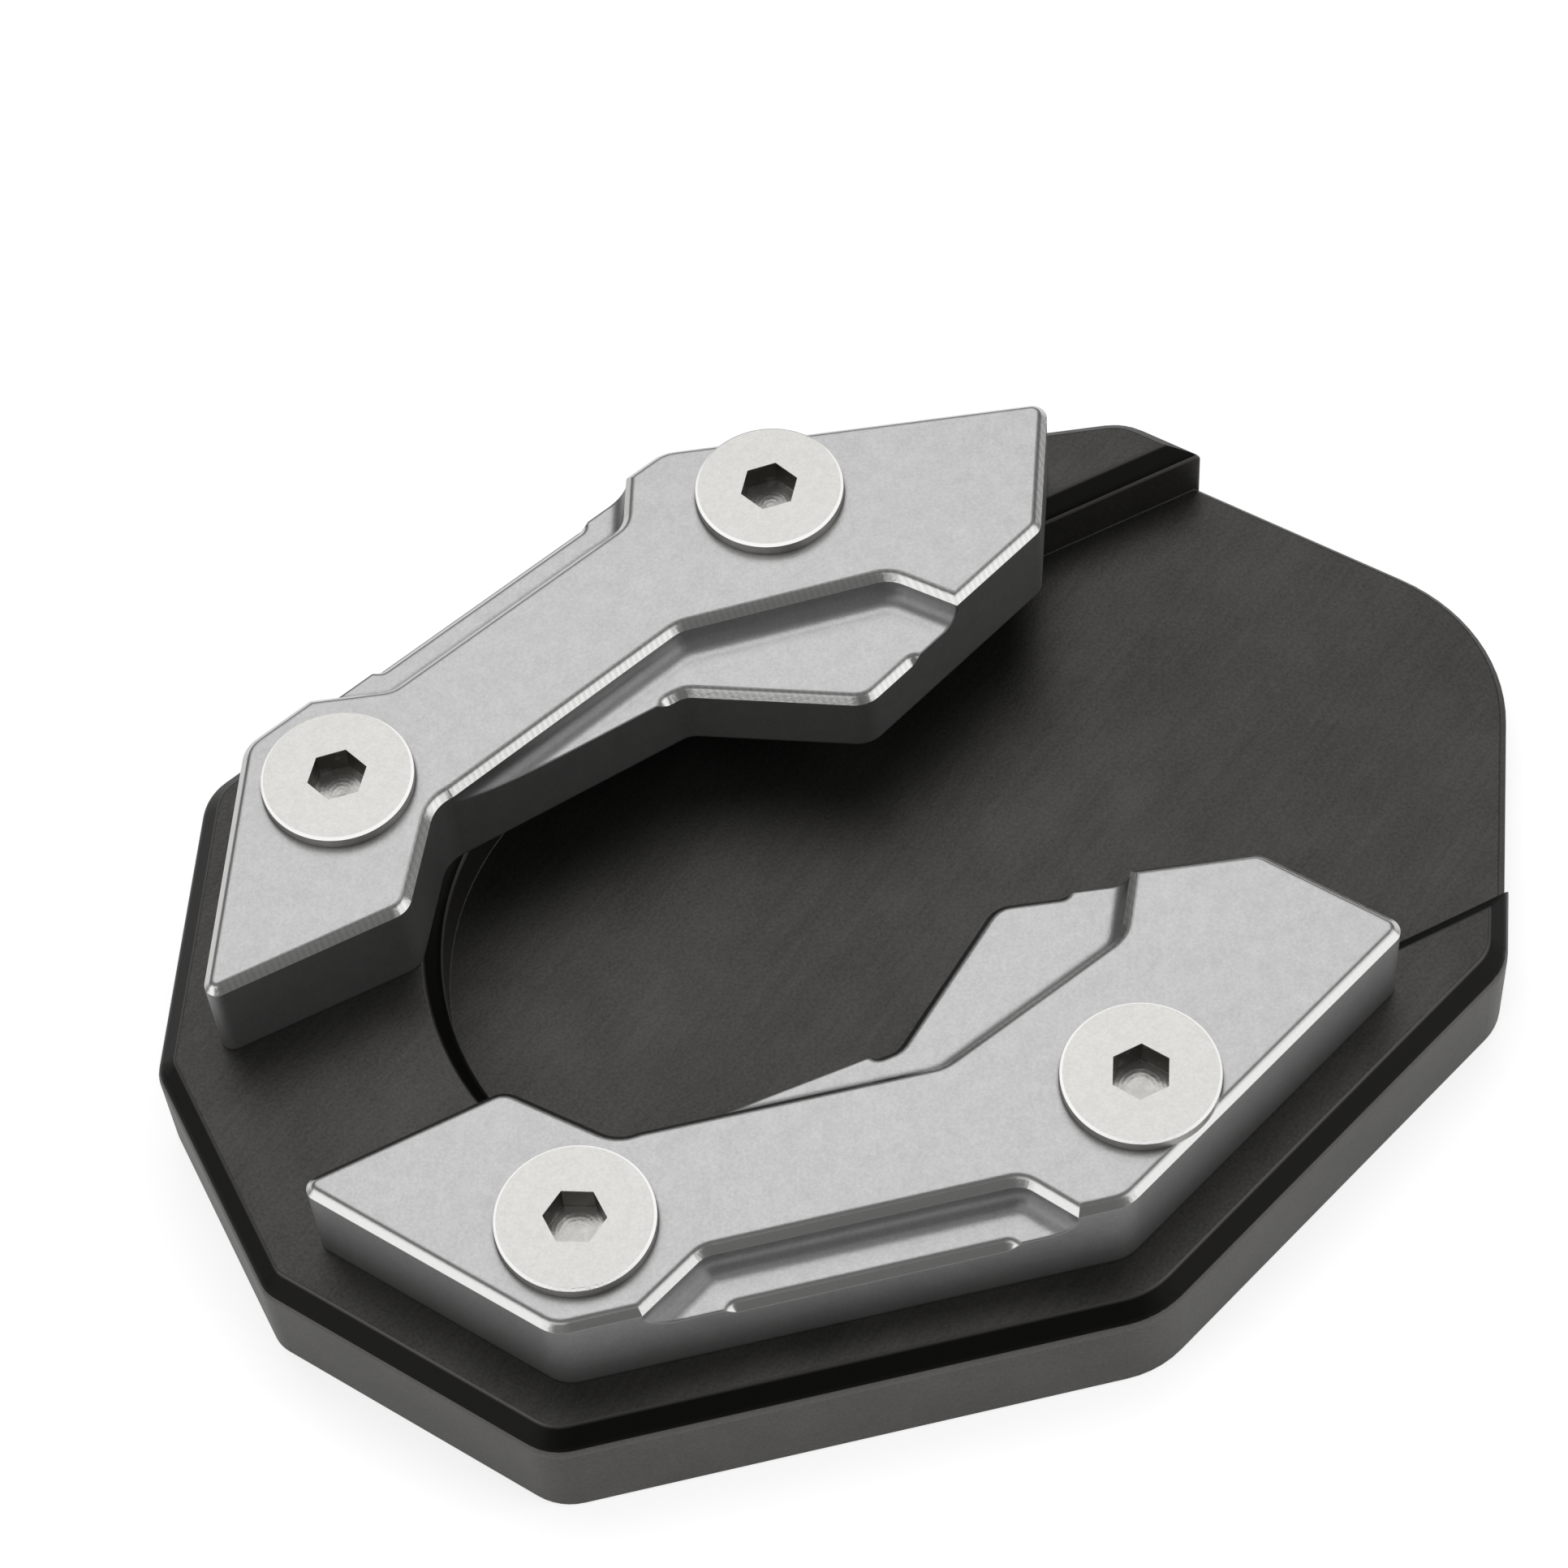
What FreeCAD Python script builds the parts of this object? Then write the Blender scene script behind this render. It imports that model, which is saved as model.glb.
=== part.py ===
import FreeCAD, Part
import math
import os
import Sketcher
from FreeCAD import Vector

# Kickstand foot enlarger: a flat base plate with a pocket for the stand's foot,
# and two mirrored clamps that reach over the foot, each held by two countersunk screws.
# Millimetres. X runs from the toe edge to the heel, Y across, Z up, and the plate's
# underside lies at Z = 0 with its outline centred on the origin.
# A station is a distance from the toe edge along X, an offset a distance from the
# middle plane along Y.

SIZES = [
    # Base plate outline, its widths and stations taken at the corners before they are rounded
    ("plate_length", 109.2),
    ("plate_width", 85.6),
    ("plate_height", 10.2),
    ("toe_edge_width", 20.8),
    ("shoulder_station", 12.9),
    ("shoulder_width", 64.0),
    ("side_station", 56.4),
    ("heel_station", 93.4),
    ("heel_width", 59.1),
    ("heel_nose_radius", 15.0),
    ("toe_corner_radius", 3.0),
    ("shoulder_radius", 4.5),
    ("side_corner_radius", 8.0),
    ("heel_corner_radius", 5.0),
    ("plate_chamfer", 1.6),
    ("plate_blend_radius", 1.4),
    ("underside_chamfer", 0.3),
    # Pocket for the stand's foot, open at the heel
    ("pocket_station", 21.2),
    ("pocket_width", 47.3),
    ("pocket_depth", 5.9),
    ("pocket_chamfer", 1.4),
    ("mouth_chamfer", 0.5),
    # Clamp outline, outer walls parallel to the plate's edges
    ("clamp_height", 8.6),
    ("clamp_toe_margin", 4.85),
    ("clamp_side_margin", 4.6),
    ("clamp_heel_margin", 4.5),
    ("tip_gap", 17.2),
    ("throat_station", 21.3),
    ("shelf_station", 26.8),
    ("shelf_offset", 16.2),
    ("hollow_station", 48.35),
    ("hollow_offset", 17.8),
    ("jaw_station", 60.3),
    ("jaw_offset", 10.3),
    ("clamp_heel_station", 78.9),
    ("clamp_heel_offset", 16.95),
    ("tip_radius", 1.0),
    ("throat_radius", 2.0),
    ("shelf_corner_radius", 3.0),
    ("hollow_radius", 2.0),
    ("jaw_radius", 2.5),
    ("clamp_heel_radius", 1.5),
    ("clamp_tail_radius", 1.2),
    ("clamp_side_radius", 3.2),
    ("clamp_shoulder_radius", 2.8),
    ("clamp_chamfer", 0.7),
    # Recess along the inner edge of a clamp, cut with a ball-ended mill
    ("recess_depth", 2.6),
    ("ball_radius", 1.5),
    ("recess_corner_radius", 2.9),
    ("recess_lead", 1.6),
    ("recess_peak_station", 50),
    ("recess_peak_offset", 21.8),
    ("recess_turn_station", 66.5),
    ("recess_turn_offset", 18.4),
    ("recess_end_angle", 54.3),
    # Relief along the outer edge of a clamp
    ("relief_width", 3.5),
    ("relief_toe_station", 28.2),
    ("relief_heel_station", 50.5),
    ("relief_toe_angle", 20.0),
    ("relief_heel_angle", 61.7),
    ("relief_run_out", 9.0),
    ("relief_corner_radius", 2.0),
    # Edge breaks on the two shelves, cut with a 90 degree mill and stopped short
    ("mill_radius", 1.2),
    ("mill_overrun", 0.2),
    ("inner_break_start", 45.8),
    ("inner_break_end", 65.8),
    ("outer_break_start", 27.9),
    ("outer_break_end", 49.0),
    # Screws, their insets taken from the shoulder width at the toe and the plate width at the heel
    ("toe_screw_station", 21.2),
    ("toe_screw_inset", 10.8),
    ("heel_screw_station", 61.8),
    ("heel_screw_inset", 13.0),
    ("screw_diameter", 6.0),
    ("screw_length", 16.0),
    ("screw_point_chamfer", 0.7),
    ("head_diameter", 11.6),
    ("head_stand_out", 1.1),
    ("head_edge_break", 0.2),
    ("head_angle", 90.0),
    ("socket_across_flats", 4.0),
    ("socket_depth", 2.2),
    ("socket_cone_depth", 0.6),
    ("shank_clearance", 0.6),
    ("thread_clearance", 0.1),
]

# Where each screw stands, and how far its socket is turned
SCREWS = [
    ("screw_toe_left", "toe", 1, -10.0),
    ("screw_toe_right", "toe", -1, 30.0),
    ("screw_heel_left", "heel", 1, -9.0),
    ("screw_heel_right", "heel", -1, 0.0),
]

# How far a point may lie from an edge and still count as on it
ON_EDGE = 1e-3

doc = FreeCAD.newDocument("foot_enlarger")
sheet = doc.addObject("Spreadsheet::Sheet", "Sizes")
for row, (alias, value) in enumerate(SIZES, start=1):
    sheet.set("A%d" % row, alias.replace("_", " "))
    sheet.set("B%d" % row, str(value))
    sheet.setAlias("B%d" % row, alias)
doc.recompute()


def size(expression):
    """The number that an expression over the sheet gives."""
    return float(sheet.evalExpression(expression))


def station(alias):
    """X of a station, as an expression."""
    return "Sizes.%s - Sizes.plate_length / 2" % alias


def half(alias, side=1):
    """Half of a width, on the side given, as an expression."""
    return "%d * Sizes.%s / 2" % (side, alias)


def offset(alias):
    """Y of an offset, as an expression."""
    return "Sizes.%s" % alias


def place(corner):
    """A corner given as two expressions, as a point."""
    return Vector(size(corner[0]), size(corner[1]), 0)


def plane_of(body, role):
    """An origin plane of a body."""
    return next(f for f in body.Origin.OriginFeatures if f.Role == role)


def new_sketch(body, name, role="XY_Plane", height=None):
    """A sketch on one of the body's own planes, raised by an expression."""
    sketch = body.newObject("Sketcher::SketchObject", name)
    sketch.AttachmentSupport = [(plane_of(body, role), "")]
    sketch.MapMode = "FlatFace"
    if height:
        sketch.setExpression("AttachmentOffset.Base.z", height)
    return sketch


def constrain(sketch, kind, *parts, expression=None):
    """A constraint, bound to the sheet where an expression is given."""
    if expression is not None:
        parts = parts + (size(expression),)
    index = sketch.addConstraint(Sketcher.Constraint(kind, *parts))
    if expression is not None:
        sketch.setExpression("Constraints[%d]" % index, expression)


def pin(sketch, line, end, corner):
    """Ties one end of a line to a corner given as two expressions."""
    constrain(sketch, "DistanceX", -1, 1, line, end, expression=corner[0])
    constrain(sketch, "DistanceY", -1, 1, line, end, expression=corner[1])


def add_loop(sketch, points):
    """Lines round a closed outline, joined at its corners."""
    lines = []
    for start, end in zip(points, points[1:] + points[:1]):
        lines.append(sketch.addGeometry(Part.LineSegment(start, end), False))
    for line, following in zip(lines, lines[1:] + lines[:1]):
        constrain(sketch, "Coincident", line, 2, following, 1)
    return lines


def add_guides(sketch, corners):
    """Construction lines through corners given as expressions."""
    guides = []
    points = [place(corner) for corner in corners]
    for start, end in zip(points, points[1:]):
        guides.append(sketch.addGeometry(Part.LineSegment(start, end), True))
    pin(sketch, guides[0], 1, corners[0])
    for number, guide in enumerate(guides):
        if number:
            constrain(sketch, "Coincident", guides[number - 1], 2, guide, 1)
        pin(sketch, guide, 2, corners[number + 1])
    return guides


def follow(sketch, line, guide, distance):
    """Keeps a line parallel to a guide, at a distance."""
    constrain(sketch, "Parallel", line, guide)
    constrain(sketch, "Distance", line, 1, guide, expression=distance)


def shifted(start, end, distance):
    """The line through two points, moved to its right-hand side, as point and direction."""
    along = (end - start).normalize()
    return start + Vector(along.y, -along.x, 0) * distance, along


def meeting(first, second):
    """Where two lines cross, each given as point and direction."""
    gap = second[0] - first[0]
    cross = first[1].x * second[1].y - first[1].y * second[1].x
    reach = (gap.x * second[1].y - gap.y * second[1].x) / cross
    return first[0] + first[1] * reach


def upright_edges(feature, points):
    """Names of the upright edges that stand on the points given."""
    names = []
    for number, edge in enumerate(feature.Shape.Edges, start=1):
        start, end = edge.Vertexes[0].Point, edge.Vertexes[-1].Point
        if math.hypot(start.x - end.x, start.y - end.y) > ON_EDGE:
            continue
        if any(math.hypot(start.x - p.x, start.y - p.y) < ON_EDGE for p in points):
            names.append("Edge%d" % number)
    return names


def level_edges(feature, height, choose=lambda middle: True):
    """Names of the edges that lie at one height, by the middle of each."""
    names = []
    for number, edge in enumerate(feature.Shape.Edges, start=1):
        middle = edge.valueAt((edge.FirstParameter + edge.LastParameter) / 2)
        ends = [vertex.Point.z for vertex in edge.Vertexes] + [middle.z]
        if max(abs(z - height) for z in ends) < ON_EDGE and choose(middle):
            names.append("Edge%d" % number)
    return names


def pad(body, name, sketch, length):
    """A pad as long as an expression says."""
    feature = body.newObject("PartDesign::Pad", name)
    feature.Profile = sketch
    feature.setExpression("Length", length)
    doc.recompute()
    return feature


def pocket(body, name, sketch, depth=None):
    """A pocket downwards from its sketch, right through where no depth is given."""
    feature = body.newObject("PartDesign::Pocket", name)
    feature.Profile = sketch
    if depth:
        feature.setExpression("Length", depth)
    else:
        feature.Type = "ThroughAll"
        feature.Midplane = True
    doc.recompute()
    return feature


def fillet(body, name, base, edges, radius):
    """Rounds edges of the base feature."""
    feature = body.newObject("PartDesign::Fillet", name)
    feature.Base = (base, edges)
    feature.setExpression("Radius", radius)
    doc.recompute()
    return feature


def chamfer(body, name, base, edges, width):
    """Breaks edges of the base feature at 45 degrees."""
    feature = body.newObject("PartDesign::Chamfer", name)
    feature.Base = (base, edges)
    feature.setExpression("Size", width)
    doc.recompute()
    return feature


def add_circles(sketch, centres, radius):
    """Circles of one radius, centred on corners given as expressions."""
    for centre in centres:
        circle = sketch.addGeometry(Part.Circle(place(centre), Vector(0, 0, 1), size(radius)), False)
        constrain(sketch, "DistanceX", -1, 1, circle, 3, expression=centre[0])
        constrain(sketch, "DistanceY", -1, 1, circle, 3, expression=centre[1])
        constrain(sketch, "Radius", circle, expression=radius)


def screw_centre(end, side):
    """Where a screw stands, as two expressions."""
    edge = half({"toe": "shoulder_width", "heel": "plate_width"}[end], side)
    return station(end + "_screw_station"), "%s - %d * Sizes.%s_screw_inset" % (edge, side, end)


# Corners of the plate's left half, from toe to heel
TOE_CORNER = ("-Sizes.plate_length / 2", half("toe_edge_width"))
SHOULDER = (station("shoulder_station"), half("shoulder_width"))
SIDE_CORNER = (station("side_station"), half("plate_width"))
HEEL_CORNER = (station("heel_station"), half("heel_width"))

# Corners of the left clamp's inner edge, from toe to heel
THROAT = (station("throat_station"), half("tip_gap"))
SHELF = (station("shelf_station"), offset("shelf_offset"))
HOLLOW = (station("hollow_station"), offset("hollow_offset"))
JAW = (station("jaw_station"), offset("jaw_offset"))
CLAMP_HEEL = (station("clamp_heel_station"), offset("clamp_heel_offset"))

# Height of the shelves above the clamp's underside, and the corners of the recess
SHELF_HEIGHT = "Sizes.clamp_height - Sizes.recess_depth"
SHELF_RISE = "(Sizes.hollow_offset - Sizes.shelf_offset) / (Sizes.hollow_station - Sizes.shelf_station)"
RECESS_START = (
    station("shelf_station") + " + Sizes.recess_lead",
    "Sizes.shelf_offset + Sizes.recess_lead * " + SHELF_RISE,
)
RECESS_PEAK = (station("recess_peak_station"), offset("recess_peak_offset"))
RECESS_TURN = (station("recess_turn_station"), offset("recess_turn_offset"))
RECESS_END = (RECESS_TURN[0] + " + Sizes.recess_turn_offset / tan(Sizes.recess_end_angle)", "0")


def mirrored(corner):
    """The same corner on the right-hand side."""
    return corner[0], "-(%s)" % corner[1]


def draw_plate_outline(body):
    """The plate's outline: straight edges, and a rounded nose at the heel."""
    sketch = new_sketch(body, "PlateOutline")
    left = [TOE_CORNER, SHOULDER, SIDE_CORNER, HEEL_CORNER]
    right = [mirrored(corner) for corner in left]
    radius = size("Sizes.heel_nose_radius")
    centre = Vector(size("Sizes.plate_length / 2") - radius, 0, 0)
    corner = place(HEEL_CORNER)
    reach = corner - centre
    turn = math.atan2(reach.y, reach.x) - math.acos(radius / reach.Length)
    touch = centre + Vector(math.cos(turn), math.sin(turn), 0) * radius
    touch_right = Vector(touch.x, -touch.y, 0)
    nose = Part.ArcOfCircle(Part.Circle(centre, Vector(0, 0, 1), radius), -turn, turn)
    corners = right[::-1] + left
    points = [touch_right] + [place(c) for c in corners] + [touch]
    lines = []
    for start, end in zip(points, points[1:]):
        lines.append(sketch.addGeometry(Part.LineSegment(start, end), False))
    arc = sketch.addGeometry(nose, False)
    for line, following in zip(lines, lines[1:]):
        constrain(sketch, "Coincident", line, 2, following, 1)
    for line, corner in zip(lines, corners):
        pin(sketch, line, 2, corner)
    constrain(sketch, "Tangent", lines[0], 1, arc, 1)
    constrain(sketch, "Tangent", lines[-1], 2, arc, 2)
    constrain(sketch, "PointOnObject", arc, 3, -1)
    nose_middle = "Sizes.plate_length / 2 - Sizes.heel_nose_radius"
    constrain(sketch, "DistanceX", -1, 1, arc, 3, expression=nose_middle)
    constrain(sketch, "Radius", arc, expression="Sizes.heel_nose_radius")
    return sketch


def draw_pocket_outline(body):
    """A slot with a round end toward the toe, open past the heel."""
    sketch = new_sketch(body, "PocketOutline", height="Sizes.plate_height")
    radius = size("Sizes.pocket_width / 2")
    middle_x = station("pocket_station") + " + Sizes.pocket_width / 2"
    centre = Vector(size(middle_x), 0, 0)
    past_heel = "Sizes.plate_length / 2 + Sizes.plate_chamfer"
    far = Vector(size(past_heel), 0, 0)
    across = Vector(0, radius, 0)
    arc = Part.ArcOfCircle(Part.Circle(centre, Vector(0, 0, 1), radius), math.pi / 2, 3 * math.pi / 2)
    end = sketch.addGeometry(arc, False)
    right = sketch.addGeometry(Part.LineSegment(centre - across, far - across), False)
    mouth = sketch.addGeometry(Part.LineSegment(far - across, far + across), False)
    left = sketch.addGeometry(Part.LineSegment(far + across, centre + across), False)
    constrain(sketch, "Tangent", end, 2, right, 1)
    constrain(sketch, "Coincident", right, 2, mouth, 1)
    constrain(sketch, "Coincident", mouth, 2, left, 1)
    constrain(sketch, "Tangent", left, 2, end, 1)
    constrain(sketch, "Horizontal", right)
    constrain(sketch, "Horizontal", left)
    constrain(sketch, "Vertical", mouth)
    constrain(sketch, "PointOnObject", end, 3, -1)
    constrain(sketch, "DistanceX", -1, 1, end, 3, expression=middle_x)
    constrain(sketch, "Radius", end, expression="Sizes.pocket_width / 2")
    constrain(sketch, "DistanceX", -1, 1, mouth, 1, expression=past_heel)
    return sketch


def make_plate():
    """The base plate, with its foot pocket and four tapped holes."""
    body = doc.addObject("PartDesign::Body", "BasePlate")
    body.Label = "base_plate"
    feature = pad(body, "PlateBlank", draw_plate_outline(body), "Sizes.plate_height")
    for name, corner, radius in (
        ("ToeCorners", TOE_CORNER, "Sizes.toe_corner_radius"),
        ("Shoulders", SHOULDER, "Sizes.shoulder_radius"),
        ("SideCorners", SIDE_CORNER, "Sizes.side_corner_radius"),
        ("HeelCorners", HEEL_CORNER, "Sizes.heel_corner_radius"),
    ):
        edges = upright_edges(feature, [place(corner), place(mirrored(corner))])
        feature = fillet(body, name, feature, edges, radius)
    top = size("Sizes.plate_height")
    feature = chamfer(body, "TopChamfer", feature, level_edges(feature, top), "Sizes.plate_chamfer")
    brink = level_edges(feature, size("Sizes.plate_height - Sizes.plate_chamfer"))
    feature = fillet(body, "SideBlend", feature, brink, "Sizes.plate_blend_radius")
    brink = level_edges(feature, 0)
    feature = chamfer(body, "UndersideChamfer", feature, brink, "Sizes.underside_chamfer")
    feature = pocket(body, "FootPocket", draw_pocket_outline(body), "Sizes.pocket_depth")
    wall = size("Sizes.pocket_width / 2")
    pocket_middle = size(station("pocket_station")) + wall

    def on_pocket(middle):
        reach = math.hypot(min(middle.x - pocket_middle, 0), middle.y)
        return abs(reach - wall) < ON_EDGE

    rim = level_edges(feature, top, on_pocket)
    feature = chamfer(body, "PocketChamfer", feature, rim, "Sizes.pocket_chamfer")
    brink = level_edges(feature, size("Sizes.plate_height - Sizes.pocket_chamfer"), on_pocket)
    feature = fillet(body, "PocketBlend", feature, brink, "Sizes.plate_blend_radius")
    floor = size("Sizes.plate_height - Sizes.pocket_depth")

    def on_mouth(middle):
        return middle.x > pocket_middle and abs(middle.y) < wall - ON_EDGE

    mouth = level_edges(feature, floor, on_mouth)
    feature = chamfer(body, "MouthChamfer", feature, mouth, "Sizes.mouth_chamfer")
    holes = new_sketch(body, "TappedHoles")
    centres = [screw_centre(end, side) for name, end, side, turn in SCREWS]
    add_circles(holes, centres, "(Sizes.screw_diameter + Sizes.thread_clearance) / 2")
    pocket(body, "TappedBores", holes)
    return body


def draw_clamp_outline(body):
    """The clamp's outline: four walls along the plate's edges, and the inner edge."""
    sketch = new_sketch(body, "ClampOutline")
    toe, side, heel = add_guides(sketch, [TOE_CORNER, SHOULDER, SIDE_CORNER, HEEL_CORNER])
    margins = ["Sizes.clamp_%s_margin" % wall for wall in ("toe", "side", "heel")]
    corners = [place(c) for c in (TOE_CORNER, SHOULDER, SIDE_CORNER, HEEL_CORNER)]
    toe_wall, side_wall, heel_wall = [
        shifted(start, end, size(margin)) for start, end, margin in zip(corners, corners[1:], margins)
    ]
    tail_wall = (place(CLAMP_HEEL), toe_wall[1])
    tip_edge = (place(THROAT), Vector(1, 0, 0))
    inner = [place(c) for c in (THROAT, SHELF, HOLLOW, JAW, CLAMP_HEEL)]
    points = [
        meeting(tip_edge, toe_wall),
        meeting(toe_wall, side_wall),
        meeting(side_wall, heel_wall),
        meeting(heel_wall, tail_wall),
    ] + inner[::-1]
    lines = add_loop(sketch, points)
    for line, guide, margin in zip(lines, (toe, side, heel), margins):
        follow(sketch, line, guide, margin)
    constrain(sketch, "Parallel", lines[3], toe)
    for line, corner in zip(lines[4:], (CLAMP_HEEL, JAW, HOLLOW, SHELF, THROAT)):
        pin(sketch, line, 1, corner)
    constrain(sketch, "Horizontal", lines[8])
    return sketch, points


def ball_milled_cutter(name, draw, corner_radius):
    """The space that a ball-ended mill clears above a shelf: rounded at its foot."""
    body = doc.addObject("PartDesign::Body", name)
    sketch, on_open_side, corners = draw(body)
    feature = pad(body, name + "Blank", sketch, "Sizes.recess_depth + Sizes.mill_overrun")
    edges = upright_edges(feature, corners)
    feature = fillet(body, name + "Corners", feature, edges, corner_radius)
    foot = level_edges(feature, size(SHELF_HEIGHT), lambda middle: not on_open_side(middle))
    fillet(body, name + "Foot", feature, foot, "Sizes.ball_radius")
    return body


def draw_recess(body):
    """The recess: from the shelf's start, up to its peak, and down past the jaw."""
    sketch = new_sketch(body, "RecessOutline", height=SHELF_HEIGHT)
    corners = [
        (RECESS_START[0], "0"),
        RECESS_END,
        RECESS_TURN,
        RECESS_PEAK,
        RECESS_START,
    ]
    points = [place(corner) for corner in corners]
    lines = add_loop(sketch, points)
    for line, corner in zip(lines, corners):
        pin(sketch, line, 1, corner)
    start_x = points[0].x + ON_EDGE

    def on_open_side(middle):
        return middle.y < ON_EDGE or middle.x < start_x

    return sketch, on_open_side, [points[2], points[3]]


def draw_relief(body):
    """The relief: a wall along the outer edge between two slanting ends."""
    sketch = new_sketch(body, "ReliefOutline", height=SHELF_HEIGHT)
    side = add_guides(sketch, [SHOULDER, SIDE_CORNER])[0]
    inset = "Sizes.clamp_side_margin + Sizes.relief_width"
    wall = shifted(place(SHOULDER), place(SIDE_CORNER), size(inset))
    toe_end = size(station("relief_toe_station"))
    heel_end = size(station("relief_heel_station"))
    upright = Vector(0, 1, 0)
    toe_foot = meeting(wall, (Vector(toe_end, 0, 0), upright))
    heel_foot = meeting(wall, (Vector(heel_end, 0, 0), upright))
    run_out = size("Sizes.relief_run_out")
    toe_turn = math.radians(180 - size("Sizes.relief_toe_angle"))
    heel_turn = math.radians(size("Sizes.relief_heel_angle"))
    toe_top = toe_foot + Vector(math.cos(toe_turn), math.sin(toe_turn), 0) * run_out
    heel_top = heel_foot + Vector(math.cos(heel_turn), math.sin(heel_turn), 0) * run_out
    lines = add_loop(sketch, [toe_foot, heel_foot, heel_top, toe_top])
    follow(sketch, lines[0], side, inset)
    constrain(sketch, "DistanceX", -1, 1, lines[0], 1, expression=station("relief_toe_station"))
    constrain(sketch, "DistanceX", -1, 1, lines[0], 2, expression=station("relief_heel_station"))
    for line, start, end, turn in (
        (lines[1], heel_foot, heel_top, "Sizes.relief_heel_angle"),
        (lines[3], toe_top, toe_foot, "Sizes.relief_toe_angle"),
    ):
        across = "Sizes.relief_run_out * cos(%s)" % turn
        rise = "Sizes.relief_run_out * sin(%s)" % turn
        upward = end.y > start.y
        constrain(sketch, "DistanceX", line, 1, line, 2, expression=across)
        constrain(sketch, "DistanceY", line, 1, line, 2, expression=rise if upward else "-" + rise)
    far = (toe_top + heel_top) * 0.5

    def on_open_side(middle):
        return math.hypot(middle.x - far.x, middle.y - far.y) < ON_EDGE

    return sketch, on_open_side, [toe_foot, heel_foot]


def at_x(line, x):
    """The point of a line, given as point and direction, that has this X."""
    return line[0] + line[1] * ((x - line[0].x) / line[1].x)


def edge_break_cutter(name, corners, near, far, start, end, bends):
    """The space that a 90 degree mill clears along a shelf's edge, with round ends.

    A strip follows guides through the corners. Its near side lies in the metal and its
    far side in the open, each a distance from the guides, given as expression and side.
    The bends are the near side's radii where the guides turn.
    """
    body = doc.addObject("PartDesign::Body", name)
    cone = "(Sizes.clamp_chamfer + Sizes.mill_overrun)"
    sketch = new_sketch(body, name + "Outline", height=SHELF_HEIGHT + " - " + cone)
    guides = add_guides(sketch, corners)
    points = [place(corner) for corner in corners]
    near_sides = [shifted(a, b, near[1] * size(near[0])) for a, b in zip(points, points[1:])]
    far_sides = [shifted(a, b, far[1] * size(far[0])) for a, b in zip(points, points[1:])]
    near_row = [at_x(near_sides[0], size(start))]
    near_row += [meeting(a, b) for a, b in zip(near_sides, near_sides[1:])]
    near_row.append(at_x(near_sides[-1], size(end)))
    across = [Vector(-line[1].y, line[1].x, 0) for line in (near_sides[0], near_sides[-1])]
    far_row = [meeting((near_row[0], across[0]), far_sides[0])]
    far_row += [meeting(a, b) for a, b in zip(far_sides, far_sides[1:])]
    far_row.append(meeting((near_row[-1], across[1]), far_sides[-1]))
    lines = add_loop(sketch, near_row + far_row[::-1])
    count = len(guides)
    for line, guide in zip(lines[:count], guides):
        follow(sketch, line, guide, near[0])
    for line, guide in zip(lines[count + 1:-1], guides[::-1]):
        follow(sketch, line, guide, far[0])
    constrain(sketch, "Perpendicular", lines[count], guides[-1])
    constrain(sketch, "Perpendicular", lines[-1], guides[0])
    constrain(sketch, "DistanceX", -1, 1, lines[0], 1, expression=start)
    constrain(sketch, "DistanceX", -1, 1, lines[count - 1], 2, expression=end)
    feature = pad(body, name + "Blank", sketch, cone + " + Sizes.mill_overrun")
    ends = upright_edges(feature, [near_row[0], near_row[-1]])
    feature = fillet(body, name + "Ends", feature, ends, "Sizes.mill_radius")
    for number, (corner, radius) in enumerate(zip(near_row[1:-1], bends), start=1):
        edges = upright_edges(feature, [corner])
        feature = fillet(body, "%sBend%d" % (name, number), feature, edges, radius)
    open_middles = [(a + b) * 0.5 for a, b in zip(far_row, far_row[1:])]

    def in_metal(middle):
        return all(math.hypot(middle.x - p.x, middle.y - p.y) > ON_EDGE for p in open_middles)

    foot = level_edges(feature, size(SHELF_HEIGHT + " - " + cone), in_metal)
    chamfer(body, name + "Cone", feature, foot, cone)
    return body


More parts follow.
